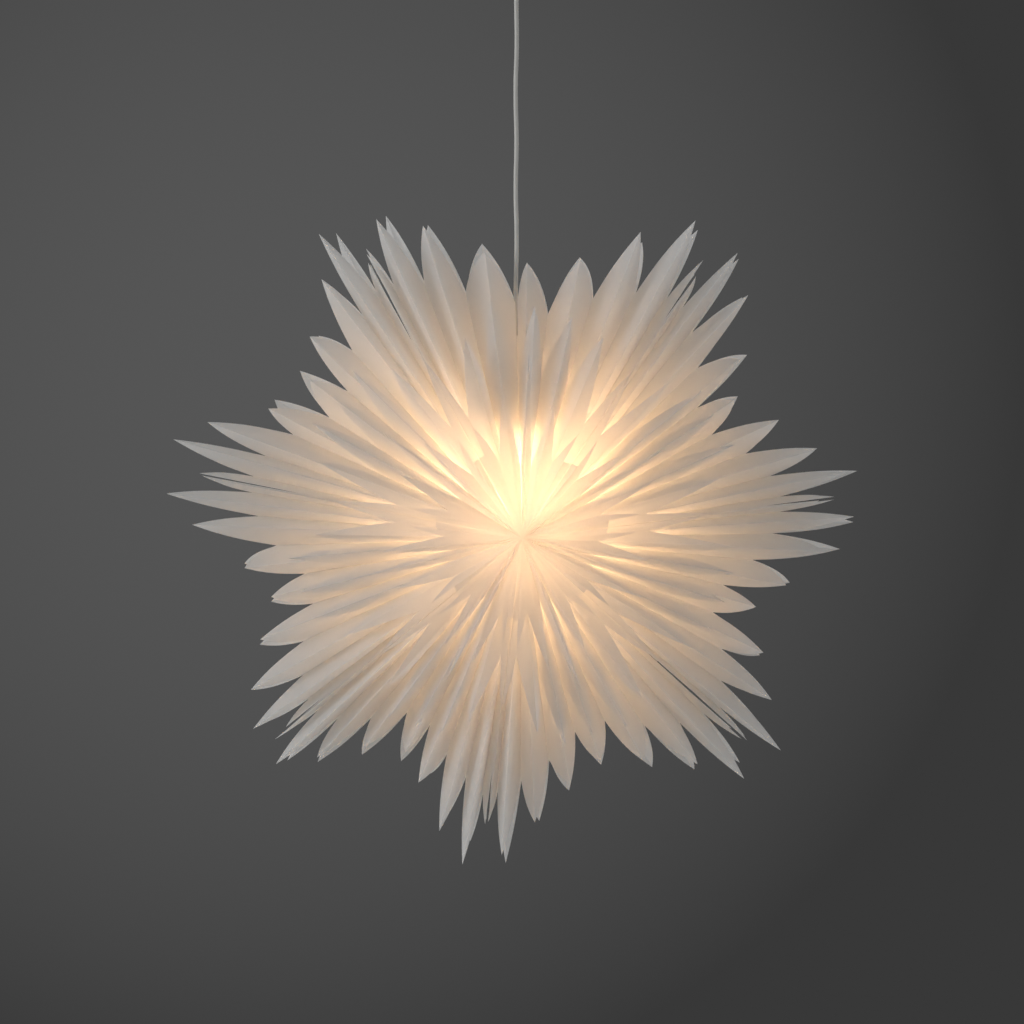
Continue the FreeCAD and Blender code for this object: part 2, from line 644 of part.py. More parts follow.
def cup_outline(inset):
    """Half the cup's outline from its rim to its floor, drawn in by a wall's thickness."""
    band_end = CUP_RIM + CUP_RIM_BAND
    rim = V(CUP_RIM_R - inset, 0, -CUP_RIM)
    band = V(CUP_RIM_R - inset, 0, -band_end)
    belly = V(CUP_BELLY_R - inset, 0, -CUP_BELLY + inset / 2)
    floor = V(CUP_FLOOR_R, 0, -CUP_FLOOR + inset)
    return [Part.LineSegment(rim, band).toShape(), Part.Arc(band, belly, floor).toShape()], rim, floor


def ceiling_cup():
    """The cup that hides the hook, held on the flex by a screw in its neck."""
    bore = CORD_R + CUP_BORE_CLEARANCE
    outer, outer_rim, outer_floor = cup_outline(0)
    inner, inner_rim, inner_floor = cup_outline(CUP_WALL)
    corners = [
        outer_floor,
        V(CUP_NECK_R, 0, -CUP_FLOOR),
        V(CUP_NECK_R, 0, -CUP_NECK_END),
        V(bore, 0, -CUP_NECK_END),
        V(bore, 0, -CUP_FLOOR + CUP_WALL),
        inner_floor,
    ]
    edges = outer + [Part.LineSegment(a, b).toShape() for a, b in zip(corners, corners[1:])]
    edges += inner[::-1] + [Part.LineSegment(inner_rim, outer_rim).toShape()]
    cup = revolved_edges(edges)
    height = -(CUP_FLOOR + CUP_NECK_END) / 2
    hole = rod(GRIP_SCREW_R + GRIP_SCREW_CLEARANCE, V(0, 0, height), V(2 * CUP_NECK_R, 0, height))
    return cup.cut(hole)


def cup_grip_screw():
    """The thumb screw that grips the flex."""
    height = -(CUP_FLOOR + CUP_NECK_END) / 2
    head_start = CUP_NECK_R + GRIP_SCREW_SEAT
    shank = rod(GRIP_SCREW_R, V(CORD_R + GRIP_SCREW_SEAT, 0, height), V(head_start, 0, height))
    head = rod(GRIP_SCREW_HEAD_R, V(head_start, 0, height), V(head_start + GRIP_SCREW_HEAD, 0, height))
    return shank.fuse(head)


def save_ceiling_fitting():
    """The plate and hook, what hangs in the hook, and the cup round them."""
    save("ceiling_plate", ceiling_plate())
    save("ceiling_hook", ceiling_hook())
    save("cord_hanger", cord_hanger())
    save("terminal_block", terminal_block())
    save("lead_wires", lead_wires())
    save("ceiling_cup", ceiling_cup())
    save("cup_grip_screw", cup_grip_screw())


# ---- the flex ----------------------------------------------------------------------------------------
def cord():
    """The flex, a round tube from the hanger down to the lampholder's cap."""
    top = V(0, 0, -HANGER_BOTTOM - CORD_SEAT)
    end = V(0, 0, -STAR_DROP + CAP_TOP)
    print("flex: length", round((end - top).Length, 1))
    return rod(CORD_R, top, end)


def main():
    os.makedirs("parts", exist_ok=True)
    save_segments()
    save_ribs()
    save_closure()
    save_lampholder()
    save_ceiling_fitting()
    save("cord", cord())


main()
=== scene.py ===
"""A folded paper star pendant: the finish of its pieces, its pleated sheets and its flex.

The frame: +Z up, Y front to back with the viewer at -Y, origin on the ceiling at the hook plate's middle.
Lengths are metres. A compass direction is in degrees, clockwise from the top as the viewer sees it.
"""

import math
import random

import bmesh
import bpy
from bpy.props import FloatProperty, FloatVectorProperty, IntProperty, PointerProperty
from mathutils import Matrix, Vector


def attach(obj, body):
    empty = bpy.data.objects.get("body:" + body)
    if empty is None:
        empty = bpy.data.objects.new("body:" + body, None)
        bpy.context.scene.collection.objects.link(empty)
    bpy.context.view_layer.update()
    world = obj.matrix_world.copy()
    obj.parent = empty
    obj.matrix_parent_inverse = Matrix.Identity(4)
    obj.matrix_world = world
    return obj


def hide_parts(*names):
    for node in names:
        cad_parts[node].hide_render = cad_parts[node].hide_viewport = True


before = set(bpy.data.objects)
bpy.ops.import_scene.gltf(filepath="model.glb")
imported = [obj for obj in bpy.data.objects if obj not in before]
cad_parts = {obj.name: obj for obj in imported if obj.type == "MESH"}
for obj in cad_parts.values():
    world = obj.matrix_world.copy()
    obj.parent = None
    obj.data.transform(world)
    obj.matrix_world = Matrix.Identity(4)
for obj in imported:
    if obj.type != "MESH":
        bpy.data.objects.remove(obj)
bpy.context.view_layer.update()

bl_info = {
    "name": "Paper Star Pendant",
    "version": (1, 0, 0),
    "blender": (4, 5, 0),
    "location": "3D View > Sidebar > Paper Star",
    "description": "Folds the paper star, hangs it on its flex and finishes its fittings",
    "category": "Object",
}

# The seven lobes: compass direction, and reach of the longest tips from the star's axis.
LOBES = (
    (34.5, 0.410),
    (83.5, 0.401),
    (132.0, 0.385),
    (186.0, 0.374),
    (230.1, 0.390),
    (280.8, 0.402),
    (331.6, 0.408),
)
FULL_TURN = 360  # degrees
CELLS = 4  # folds from the middle of a segment to the lobe at its end
LEAF_PITCH = math.radians(FULL_TURN / (2 * CELLS * len(LOBES)))
CLOSURE_FOLD = -0.5  # the fold of the top segment where the star opens round the flex
SEAM_HALF_GAP = 0.25  # degrees between a segment's cut end and the lobe's middle

# A fold: place in cells from the segment's middle, reach as a share of the lobes' reach, and depth of its
# outer end as a share of the star's half depth.
OUTER_TIPS = ((0, 0.757, 0.138), (1, 0.815, 0.138), (2, 0.92, 0.138), (3, 1.0, 0.138), (4, 0.91, 0.138))
OUTER_NOTCHES = ((0.5, 0.63, 0.0), (1.5, 0.70, 0.0), (2.5, 0.75, 0.0), (3.5, 0.77, 0.0))
MIDDLE_TIPS = ((0, 0.66, 0.446), (1, 0.65, 0.477), (2, 0.595, 0.577), (4, 0.54, 0.615))
MIDDLE_NOTCHES = ((0.5, 0.45, 0.423), (1.5, 0.42, 0.477), (3, 0.36, 0.738))
INNER_TIPS = ((0, 0.50, 0.708), (1, 0.39, 0.80), (3, 0.333, 0.846))
INNER_NOTCHES = ((0.5, 0.20, 0.831), (2, 0.22, 0.885))
INNER_CUT = (4, 0.246, 0.877)  # where the innermost sheet is cut square beside a lobe
INNER_CUT_FOLD = 3
CLOSURE_REACH = 0.69  # the outer sheets' notch at the closure
CLOSURE_SHORTENING = 0.955  # they stop short of the flex there
# A leaf edge's control point: share of the tip's vector, and share of the notch's vector.
OUTER_BULGE = (0.41, 0.64)
PETAL_BULGE = (0.48, 0.60)
FULLNESS = (0.35, 1.15)  # a leaf's edge, from nearly straight to full
BOW_EASING = 0.35  # how much less a facet bows at its edge
WELD = 0.00002
CREASE_ANGLE = math.radians(14)

OUTER_FORM = (OUTER_TIPS, OUTER_NOTCHES, None)
MIDDLE_FORM = (MIDDLE_TIPS, MIDDLE_NOTCHES, None)
INNER_FORM = (INNER_TIPS, INNER_NOTCHES, INNER_CUT)
SIDES = (("front", -1), ("back", 1))

# The flex's route, from the hanger down to the lampholder: straight, but for the set of a hank in its sleeve.
FLEX_ROUTE = (
    (0.0, 0.0, -0.0502),
    (0.0002, 0.0, -0.105),
    (0.0012, 0.0004, -0.150),
    (-0.0010, -0.0003, -0.205),
    (0.0010, 0.0004, -0.262),
    (-0.0008, 0.0002, -0.318),
    (0.0011, -0.0004, -0.372),
    (-0.0004, 0.0003, -0.430),
    (0.0, 0.0, -0.490),
    (0.0, 0.0, -0.561),
)
FLEX_RADIUS = 0.0025
FLEX_ROUNDNESS = 6  # extra points in a quarter of its section
FLEX_STEPS = 8  # from one point of the route to the next

# The light that gathers between the sheets near the axis, in front of the bulb and behind it.
CORE_GLOW_ASIDE = 0.008
CORE_GLOW_DEPTH = 0.035
CORE_GLOW_RISE = 0.040  # above the star's middle
CORE_GLOW_RADIUS = 0.025
CORE_GLOW_CONE = math.radians(180)
CORE_GLOW_FADE = 0.15  # share of the cone over which it fades out

# The view: the photograph's own width at the star, and where the star's middle lies in it.
PICTURE = 1024
PICTURE_WIDTH = 1.193
STAR_PIXEL = (516.0, 534.5)
CAMERA_AZIMUTH = -2.9
CAMERA_ELEVATION = 1.3
CAMERA_DISTANCE = 3.8
SENSOR = 36.0

# The backdrop is brightest straight behind the star and darker towards the picture's corners.
BACKDROP_GLOW_AHEAD = (-0.02, 0.999, 0.02)
BACKDROP_GLOW_EDGE = 0.974  # cosine of the angle at which it has fallen to its edge share
BACKDROP_EDGE_SHARE = 0.42

EVEN_LIGHT = (0.97, 0.985, 1.0, 1.0)
# Soft lamps, all aimed at the star's middle: name, place, side, power in watts and colour.
LAMPS = (
    ("soft_key", (-3.0, -1.0, -0.1), 1.6, 34.0, (0.96, 0.98, 1.0)),
    ("soft_fill", (2.6, -2.2, -1.3), 2.2, 12.0, (0.96, 0.98, 1.0)),
    ("soft_back", (0.6, 2.8, 0.4), 2.4, 16.0, (1.0, 1.0, 1.0)),
)
FLOOR_RADIUS = 2.6
FLOOR_SIDES = 96

# Surface detail: features per metre, or per metre along each axis where they have a grain.
PAPER_CLOUDS = 60.0
PAPER_TOOTH = 420.0
PAPER_STRANDS = (260.0, 60.0, 1500.0)
STRAND_HEIGHT = 0.6  # against the paper's tooth
PLASTIC_MOTTLE = 45.0
METAL_STREAKS = (120.0, 2600.0, 2600.0)
METAL_PATCHES = 90.0
CARD_LIGHT_SHARE = 0.9  # share of the light that goes through a rib or a board


# ---- sizes and colours that a user would change ------------------------------------------------------
class PaperStarSheets(bpy.types.PropertyGroup):
    """How the star's sheets are folded and what paper they are."""

    drop: FloatProperty(
        name="Drop", description="Ceiling to the star's middle", default=0.72, unit="LENGTH"
    )
    half_depth: FloatProperty(
        name="Half depth",
        description="The star's middle plane to the point where its outer folds meet",
        default=0.13,
        unit="LENGTH",
    )
    layer_gap: FloatProperty(
        name="Layer gap",
        description="From one sheet to the next, front to back",
        default=0.0008,
        unit="LENGTH",
    )
    crowding: FloatProperty(
        name="Crowding",
        description="How far the folds draw together towards a lobe",
        default=0.55,
        min=0,
        max=1,
    )
    unevenness: FloatProperty(
        name="Unevenness", description="How much a tip's reach differs from its neighbours'", default=0.035
    )
    bow: FloatProperty(
        name="Bow",
        description="How far a facet bows out between two folds, as a share of its width",
        default=0.05,
    )
    edge_points: IntProperty(
        name="Edge points",
        description="Points along a leaf's curved edge",
        default=10,
        min=2,
    )
    rings: IntProperty(name="Rings", description="Points from the axis to a leaf's edge", default=9, min=2)
    colour: FloatVectorProperty(
        name="Paper",
        description="The paper's own colour",
        subtype="COLOR",
        size=3,
        default=(0.90, 0.90, 0.895),
    )
    lit_colour: FloatVectorProperty(
        name="Light through paper",
        description="Tint of the light that comes through one sheet",
        subtype="COLOR",
        size=3,
        default=(0.98, 0.965, 0.945),
    )
    light_share: FloatProperty(
        name="Light share",
        description="Share of the light that goes through",
        subtype="FACTOR",
        default=0.6,
    )
    splay: FloatProperty(
        name="Splay",
        description="How far a tip's direction strays, as a share of its leaf's width",
        default=0.16,
    )
    curl: FloatProperty(
        name="Curl", description="How far a tip curls forwards or backwards", default=0.007, unit="LENGTH"
    )
    lag: FloatProperty(
        name="Lag",
        description="How far the back sheets' tips have slipped sideways",
        default=0.005,
        unit="LENGTH",
    )


class PaperStarFittings(bpy.types.PropertyGroup):
    """Colours of the flex, the lampholder and the ceiling fitting, and the bulb's light."""

    flex_colour: FloatVectorProperty(
        name="Flex", description="The flex's sleeve", subtype="COLOR", size=3, default=(0.78, 0.765, 0.72)
    )
    plastic_colour: FloatVectorProperty(
        name="White plastic",
        description="Cup and lampholder mouldings",
        subtype="COLOR",
        size=3,
        default=(0.80, 0.79, 0.75),
    )
    bulb_colour: FloatVectorProperty(
        name="Bulb light",
        description="Tint of the lit bulb",
        subtype="COLOR",
        size=3,
        default=(1.0, 0.62, 0.30),
    )
    bulb_strength: FloatProperty(
        name="Bulb strength",
        description="Brightness of the lit glass",
        default=12.0,
        min=0,
    )
    core_glow: FloatProperty(
        name="Core glow",
        description="Power of the light gathered near the axis, front and back",
        default=2.1,
        min=0,
    )
    core_colour: FloatVectorProperty(
        name="Core light",
        description="Tint of the gathered light",
        subtype="COLOR",
        size=3,
        default=(1.0, 0.60, 0.30),
    )


class PaperStarStage(bpy.types.PropertyGroup):
    """Floor, lamps and background."""

    floor_colour: FloatVectorProperty(
        name="Floor", description="The floor's colour", subtype="COLOR", size=3, default=(0.62, 0.61, 0.59)
    )
    floor_drop: FloatProperty(
        name="Floor drop", description="Ceiling to the floor", default=2.3, unit="LENGTH"
    )
    ambient: FloatProperty(name="Ambient", description="Strength of the even light", default=0.22, min=0)
    backdrop: FloatVectorProperty(
        name="Backdrop",
        description="Colour seen behind the star",
        subtype="COLOR",
        size=3,
        default=(0.094, 0.094, 0.094),
    )


# ---- shader node groups ------------------------------------------------------------------------------
def new_group(name, inputs, outputs):
    """An empty shader node group with named sockets, and its input and output nodes."""
    group = bpy.data.node_groups.new(name, "ShaderNodeTree")
    for label, kind, value in inputs:
        socket = group.interface.new_socket(name=label, in_out="INPUT", socket_type=kind)
        socket.default_value = value
    for label, kind in outputs:
        group.interface.new_socket(name=label, in_out="OUTPUT", socket_type=kind)
    return group, group.nodes.new("NodeGroupInput"), group.nodes.new("NodeGroupOutput")


def noise_texture(group, vector, scale, detail=4.0, roughness=0.6):
    """A noise texture on a vector, with its scale from a socket or a number."""
    node = group.nodes.new("ShaderNodeTexNoise")
    node.inputs["Detail"].default_value = detail
    node.inputs["Roughness"].default_value = roughness
    group.links.new(vector, node.inputs["Vector"])
    if isinstance(scale, (int, float)):
        node.inputs["Scale"].default_value = scale
    else:
        group.links.new(scale, node.inputs["Scale"])
    return node.outputs["Fac"]


def arithmetic(group, operation, first, second):
    """One maths node on sockets or numbers."""
    node = group.nodes.new("ShaderNodeMath")
    node.operation = operation
    for socket, value in zip(node.inputs, (first, second)):
        if isinstance(value, (int, float)):
            socket.default_value = value
        else:
            group.links.new(value, socket)
    return node.outputs[0]


def spread(group, value, low, high, to_low, to_high):
    """Maps a range to another one, clamped."""
    node = group.nodes.new("ShaderNodeMapRange")
    group.links.new(value, node.inputs["Value"])
    node.inputs["From Min"].default_value = low
    node.inputs["From Max"].default_value = high
    for label, limit in (("To Min", to_low), ("To Max", to_high)):
        if isinstance(limit, (int, float)):
            node.inputs[label].default_value = limit
        else:
            group.links.new(limit, node.inputs[label])
    return node.outputs["Result"]


def shade(group, colour, amount):
    """A colour multiplied by a value."""
    node = group.nodes.new("ShaderNodeVectorMath")
    node.operation = "SCALE"
    group.links.new(colour, node.inputs[0])
    group.links.new(amount, node.inputs["Scale"])
    return node.outputs["Vector"]


def paper_fibre_group():
    """Laid fibres, cloudy thickness and a few flecks of lantern paper: colour and height."""
    group, entry, exit_node = new_group(
        "Paper fibre",
        [
            ("Colour", "NodeSocketColor", (0.8, 0.8, 0.8, 1.0)),
            ("Cloud", "NodeSocketFloat", 0.06),
            ("Fibre", "NodeSocketFloat", 0.05),
        ],
        [("Colour", "NodeSocketColor"), ("Height", "NodeSocketFloat")],
    )
    place = group.nodes.new("ShaderNodeTexCoord").outputs["Object"]
    cloud = noise_texture(group, place, PAPER_CLOUDS, 3.0)
    fine = noise_texture(group, place, PAPER_TOOTH, 5.0, 0.75)
    long_way = group.nodes.new("ShaderNodeMapping")
    long_way.inputs["Scale"].default_value = PAPER_STRANDS
    group.links.new(place, long_way.inputs["Vector"])
    strand = noise_texture(group, long_way.outputs["Vector"], 1.0, 2.0)
    light = spread(group, cloud, 0.3, 0.7, 1.0, 0.0)
    light = arithmetic(group, "MULTIPLY", light, entry.outputs["Cloud"])
    thread = spread(group, strand, 0.56, 0.72, 0.0, 1.0)
    thread = arithmetic(group, "MULTIPLY", thread, entry.outputs["Fibre"])
    loss = arithmetic(group, "ADD", light, thread)
    grain = arithmetic(group, "MULTIPLY", spread(group, fine, 0.35, 0.65, 0.0, 1.0), entry.outputs["Fibre"])
    amount = arithmetic(group, "SUBTRACT", 1.0, arithmetic(group, "ADD", loss, grain))
    group.links.new(shade(group, entry.outputs["Colour"], amount), exit_node.inputs["Colour"])
    height = arithmetic(group, "ADD", fine, arithmetic(group, "MULTIPLY", strand, STRAND_HEIGHT))
    group.links.new(height, exit_node.inputs["Height"])
    return group


def handled_plastic_group():
    """A moulded surface that has been handled: slight mottle, dust in the grain, uneven gloss."""
    group, entry, exit_node = new_group(
        "Handled plastic",
        [
            ("Colour", "NodeSocketColor", (0.8, 0.8, 0.8, 1.0)),
            ("Gloss", "NodeSocketFloat", 0.35),
            ("Grain", "NodeSocketFloat", 900.0),
        ],
        [("Colour", "NodeSocketColor"), ("Roughness", "NodeSocketFloat"), ("Height", "NodeSocketFloat")],
    )
    place = group.nodes.new("ShaderNodeTexCoord").outputs["Object"]
    mottle = noise_texture(group, place, PLASTIC_MOTTLE, 5.0)
    grain = noise_texture(group, place, entry.outputs["Grain"], 2.0)
    amount = spread(group, mottle, 0.3, 0.7, 0.93, 1.0)
    group.links.new(shade(group, entry.outputs["Colour"], amount), exit_node.inputs["Colour"])
    rough = arithmetic(group, "ADD", entry.outputs["Gloss"], spread(group, mottle, 0.35, 0.7, 0.0, 0.14))
    group.links.new(rough, exit_node.inputs["Roughness"])
    group.links.new(grain, exit_node.inputs["Height"])
    return group


def drawn_metal_group():
    """Fine scratches along the way that the metal was drawn, with dull patches."""
    group, entry, exit_node = new_group(
        "Drawn metal",
        [
            ("Colour", "NodeSocketColor", (0.7, 0.7, 0.7, 1.0)),
            ("Gloss", "NodeSocketFloat", 0.28),
        ],
        [("Colour", "NodeSocketColor"), ("Roughness", "NodeSocketFloat"), ("Height", "NodeSocketFloat")],
    )
    place = group.nodes.new("ShaderNodeTexCoord").outputs["Object"]
    along = group.nodes.new("ShaderNodeMapping")
    along.inputs["Scale"].default_value = METAL_STREAKS
    group.links.new(place, along.inputs["Vector"])
    streak = noise_texture(group, along.outputs["Vector"], 1.0, 3.0)
    patch = noise_texture(group, place, METAL_PATCHES, 4.0)
    amount = spread(group, patch, 0.35, 0.7, 0.82, 1.0)
    group.links.new(shade(group, entry.outputs["Colour"], amount), exit_node.inputs["Colour"])
    rough = arithmetic(group, "ADD", entry.outputs["Gloss"], spread(group, streak, 0.4, 0.65, 0.0, 0.18))
    group.links.new(rough, exit_node.inputs["Roughness"])
    group.links.new(streak, exit_node.inputs["Height"])
    return group


# ---- materials ---------------------------------------------------------------------------------------
def shared_group(name, maker):
    """A node group, built the first time that it is asked for."""
    return bpy.data.node_groups.get(name) or maker()


def rgba(colour):
    """A colour with full alpha."""
    return (colour[0], colour[1], colour[2], 1.0)


def finish_from(name, group, colour, values, bump_distance):
    """A material whose Principled shader takes what a shared group puts out."""
    material = bpy.data.materials.new(name)
    material.use_nodes = True
    tree = material.node_tree
    shader = tree.nodes["Principled BSDF"]
    effect = tree.nodes.new("ShaderNodeGroup")
    effect.node_tree = group
    effect.inputs["Colour"].default_value = rgba(colour)
    for label, value in values.items():
        effect.inputs[label].default_value = value
    tree.links.new(effect.outputs["Colour"], shader.inputs["Base Color"])
    if "Roughness" in effect.outputs:
        tree.links.new(effect.outputs["Roughness"], shader.inputs["Roughness"])
    bump = tree.nodes.new("ShaderNodeBump")
    bump.inputs["Distance"].default_value = bump_distance
    bump.inputs["Strength"].default_value = 1.0
    tree.links.new(effect.outputs["Height"], bump.inputs["Height"])
    tree.links.new(bump.outputs["Normal"], shader.inputs["Normal"])
    return material, shader


def let_light_through(material, shader, colour, share):
    """Adds a share of light that comes through from behind, spread all ways."""
    tree = material.node_tree
    through = tree.nodes.new("ShaderNodeBsdfTranslucent")
    through.inputs["Color"].default_value = rgba(colour)
    mix = tree.nodes.new("ShaderNodeMixShader")
    mix.inputs["Fac"].default_value = share
    tree.links.new(shader.outputs["BSDF"], mix.inputs[1])
    tree.links.new(through.outputs["BSDF"], mix.inputs[2])
    tree.links.new(mix.outputs["Shader"], tree.nodes["Material Output"].inputs["Surface"])


def lantern_paper(sheets):
    """Thin uncoated paper: part of the light bounces off it and the rest comes through, spread."""
    fibre = shared_group("Paper fibre", paper_fibre_group)
    unevenness = {"Cloud": 0.03, "Fibre": 0.04}
    material, shader = finish_from("lantern_paper", fibre, sheets.colour, unevenness, 0.00008)
    shader.inputs["Roughness"].default_value = 0.92
    shader.inputs["Specular IOR Level"].default_value = 0.2
    let_light_through(material, shader, sheets.lit_colour, sheets.light_share)
    return material


def stiff_card(sheets):
    """The thicker card of ribs and boards."""
    fibre = shared_group("Paper fibre", paper_fibre_group)
    unevenness = {"Cloud": 0.05, "Fibre": 0.09}
    material, shader = finish_from("stiff_card", fibre, sheets.colour, unevenness, 0.0002)
    shader.inputs["Roughness"].default_value = 0.85
    let_light_through(material, shader, sheets.lit_colour, CARD_LIGHT_SHARE)
    return material


def moulded_plastic(name, colour, gloss, grain=900.0, bump=0.00006):
    """Moulded plastic with a fine satin grain."""
    handled = shared_group("Handled plastic", handled_plastic_group)
    material, shader = finish_from(name, handled, colour, {"Gloss": gloss, "Grain": grain}, bump)
    shader.inputs["IOR"].default_value = 1.48
    return material


def drawn_metal(name, colour, gloss):
    """Drawn or pressed metal."""
    drawn = shared_group("Drawn metal", drawn_metal_group)
    material, shader = finish_from(name, drawn, colour, {"Gloss": gloss}, 0.00003)
    shader.inputs["Metallic"].default_value = 1.0
    return material


def lit_opal_glass(fittings):
    """Opal glass, lit all over, a little dimmer where its coating is uneven."""
    handled = shared_group("Handled plastic", handled_plastic_group)
    material, shader = finish_from("lit_opal_glass", handled, (0.95, 0.93, 0.88), {"Gloss": 0.08}, 0.00001)
    shader.inputs["Coat Weight"].default_value = 0.4
    glow = material.node_tree.nodes.new("ShaderNodeGroup")
    glow.node_tree = handled
    glow.inputs["Colour"].default_value = rgba(fittings.bulb_colour)
    material.node_tree.links.new(glow.outputs["Colour"], shader.inputs["Emission Color"])
    shader.inputs["Emission Strength"].default_value = fittings.bulb_strength
    return material


def finish_node(name, material):
    """Gives a carried-over solid its material."""
    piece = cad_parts[name]
    piece.data.materials.clear()
    piece.data.materials.append(material)


# ---- folded sheets -----------------------------------------------------------------------------------
def direction(compass):
    """The unit vector across the star's plane at a compass direction."""
    angle = math.radians(compass)
    return Vector((math.sin(angle), 0.0, math.cos(angle)))


def segments():
    """The star's segments, clockwise from the closure at the top, numbered as the solids are."""
    top = (LOBES[-1][0] - FULL_TURN, LOBES[-1][1])

    def segment(number, ends, closure, start, end):
        return {"number": number, "ends": ends, "closure": closure, "from": start, "to": end}

    found = [segment(1, (top, LOBES[0]), True, CLOSURE_FOLD, CELLS)]
    for number, ends in enumerate(zip(LOBES, LOBES[1:]), 2):
        found.append(segment(number, ends, False, -CELLS, CELLS))
    found.append(segment(len(LOBES) + 1, (top, LOBES[0]), True, -CELLS, CLOSURE_FOLD))
    return found


def fold_direction(segment, cell, crowding):
    """The compass direction of a fold: folds draw together towards the lobes."""
    first, last = segment["ends"]
    share = cell / CELLS
    share = (1 - crowding) * share + crowding * math.sin(share * math.pi / 2)
    compass = (first[0] + last[0]) / 2 + share * (last[0] - first[0]) / 2
    if segment["closure"] and cell == CLOSURE_FOLD:
        compass = 0.0
    if cell == segment["from"]:
        compass += SEAM_HALF_GAP
    if cell == segment["to"]:
        compass -= SEAM_HALF_GAP
    return compass


def fold_end(segment, fold, layer, sheets):
    """The outer end of a fold, from the point where its layer's folds meet, halfway into the sheet."""
    cell, reach, depth = fold
    at_closure = segment["closure"] and cell == CLOSURE_FOLD and layer == 0
    if at_closure:
        reach = CLOSURE_REACH
    first, last = segment["ends"]
    share = (cell / CELLS + 1) / 2
    radius = reach * (first[1] + share * (last[1] - first[1]))
    end_y = -max(sheets.half_depth * depth, sheets.layer_gap) - layer * sheets.layer_gap
    start_y = -sheets.half_depth - layer * sheets.layer_gap
    end = direction(fold_direction(segment, cell, sheets.crowding)) * radius + Vector((0, end_y - start_y, 0))
    if at_closure:
        end *= CLOSURE_SHORTENING
    return end


def leaf_edge(notch, tip, bulge, fullness, bits):
    """Points of a leaf's curved edge from its notch to its tip; less fullness is a straighter edge."""
    control = (tip * bulge[0] + notch * bulge[1]) * fullness + (tip + notch) * (1 - fullness) / 2
    points = []
    for step in range(bits + 1):
        t = step / bits
        points.append(notch * (1 - t) ** 2 + control * (2 * t * (1 - t)) + tip * t**2)
    return points


def named_folds(segment, tips, notches, cut):
    """A segment's folds in order, each with its kind."""
    named = []
    for folds, kind in ((tips, "tip"), (notches, "notch"), ((cut,) if cut else (), "cut")):
        for cell, reach, depth in folds:
            for place in {-cell, cell}:
                if segment["from"] <= place <= segment["to"]:
                    named.append(((place, reach, depth), kind))
    return sorted(named, key=lambda entry: entry[0][0])


def strayed(end, sheets, rng, at_seam):
    """A tip's end, a little longer or shorter, off to one side, and curled; a seam holds its tip straight."""
    stretch = 1 + rng.uniform(-sheets.unevenness, sheets.unevenness)
    aside = Vector((-end.z, 0, end.x)) * LEAF_PITCH * sheets.splay * rng.uniform(-1, 1)
    curled = Vector((0, sheets.curl * rng.uniform(-1, 1), 0))
    return end * stretch if at_seam else end * stretch + aside + curled


def facet_edges(segment, layer, tips, notches, cut, sheets, rng):
    """The curved outer edge of every facet of one sheet, from one fold to the next."""
    named = named_folds(segment, tips, notches, cut)
    ends = []
    for fold, kind in named:
        end = fold_end(segment, fold, layer, sheets)
        if kind == "tip":
            end = strayed(end, sheets, rng, abs(fold[0]) == CELLS)
        ends.append(end)
    bits = sheets.edge_points
    edges = []
    reach_of = {fold[0]: fold[1] for fold in tips}
    for index in range(len(named) - 1):
        kinds = (named[index][1], named[index + 1][1])
        pair = dict(zip(kinds, ends[index : index + 2]))
        if "cut" in pair:
            square = pair["tip"] * (cut[1] / reach_of[INNER_CUT_FOLD])
            edge = [square.lerp(pair["cut"], step / bits) for step in range(bits + 1)]
            edges.append(edge if kinds[1] == "cut" else edge[::-1])
            continue
        bulge = PETAL_BULGE if layer else OUTER_BULGE
        edge = leaf_edge(pair["notch"], pair["tip"], bulge, rng.uniform(*FULLNESS), bits)
        edges.append(edge if kinds[0] == "notch" else edge[::-1])
    return edges


def add_facet(mesh, apex, edge, rings, bow):
    """A slightly bowed fan of faces from the apex to a curved edge."""
    normal = edge[0].cross(edge[-1]).normalized()
    if normal.y > 0:
        normal = -normal
    width = (edge[0] - edge[-1]).length
    wide = (edge[0].normalized() - edge[-1].normalized()).length
    previous = None
    bits = len(edge) - 1
    top = mesh.verts.new(apex)
    for ring in range(1, rings + 1):
        out = ring / rings
        row = []
        for step, point in enumerate(edge):
            lift = bow * wide * point.length * out * math.sin(math.pi * step / bits) * (1 - BOW_EASING * out)
            row.append(mesh.verts.new(apex + point * out + normal * min(lift, bow * width)))
        for step in range(bits):
            if previous is None:
                mesh.faces.new((top, row[step], row[step + 1]))
            else:
                mesh.faces.new((previous[step], row[step], row[step + 1], previous[step + 1]))
        previous = row


def fold_sheet(mesh, segment, layer, form, sheets, side):
    """Adds one pleated sheet to a mesh; side is -1 for the front and 1 for the back."""
    rng = random.Random("sheet %d %d %d" % (segment["number"], layer, side))
    apex = Vector((0, -sheets.half_depth - layer * sheets.layer_gap + sheets.layer_gap / 2, 0))
    part = bmesh.new()
    tips, notches, cut = form
    for edge in facet_edges(segment, layer, tips, notches, cut, sheets, rng):
        add_facet(part, apex, edge, sheets.rings, sheets.bow)
    bmesh.ops.remove_doubles(part, verts=part.verts, dist=WELD)
    reach = max(end[1] for end in LOBES)
    for vert in part.verts:
        if side > 0:
            vert.co.y = -vert.co.y
            out = math.hypot(vert.co.x, vert.co.z) / reach
            vert.co.x += sheets.lag * out**3
        vert.co.z -= sheets.drop
    scratch = bpy.data.meshes.new("scratch")
    bmesh.ops.recalc_face_normals(part, faces=part.faces)
    part.to_mesh(scratch)
    part.free()
    mesh.from_mesh(scratch)
    bpy.data.meshes.remove(scratch)


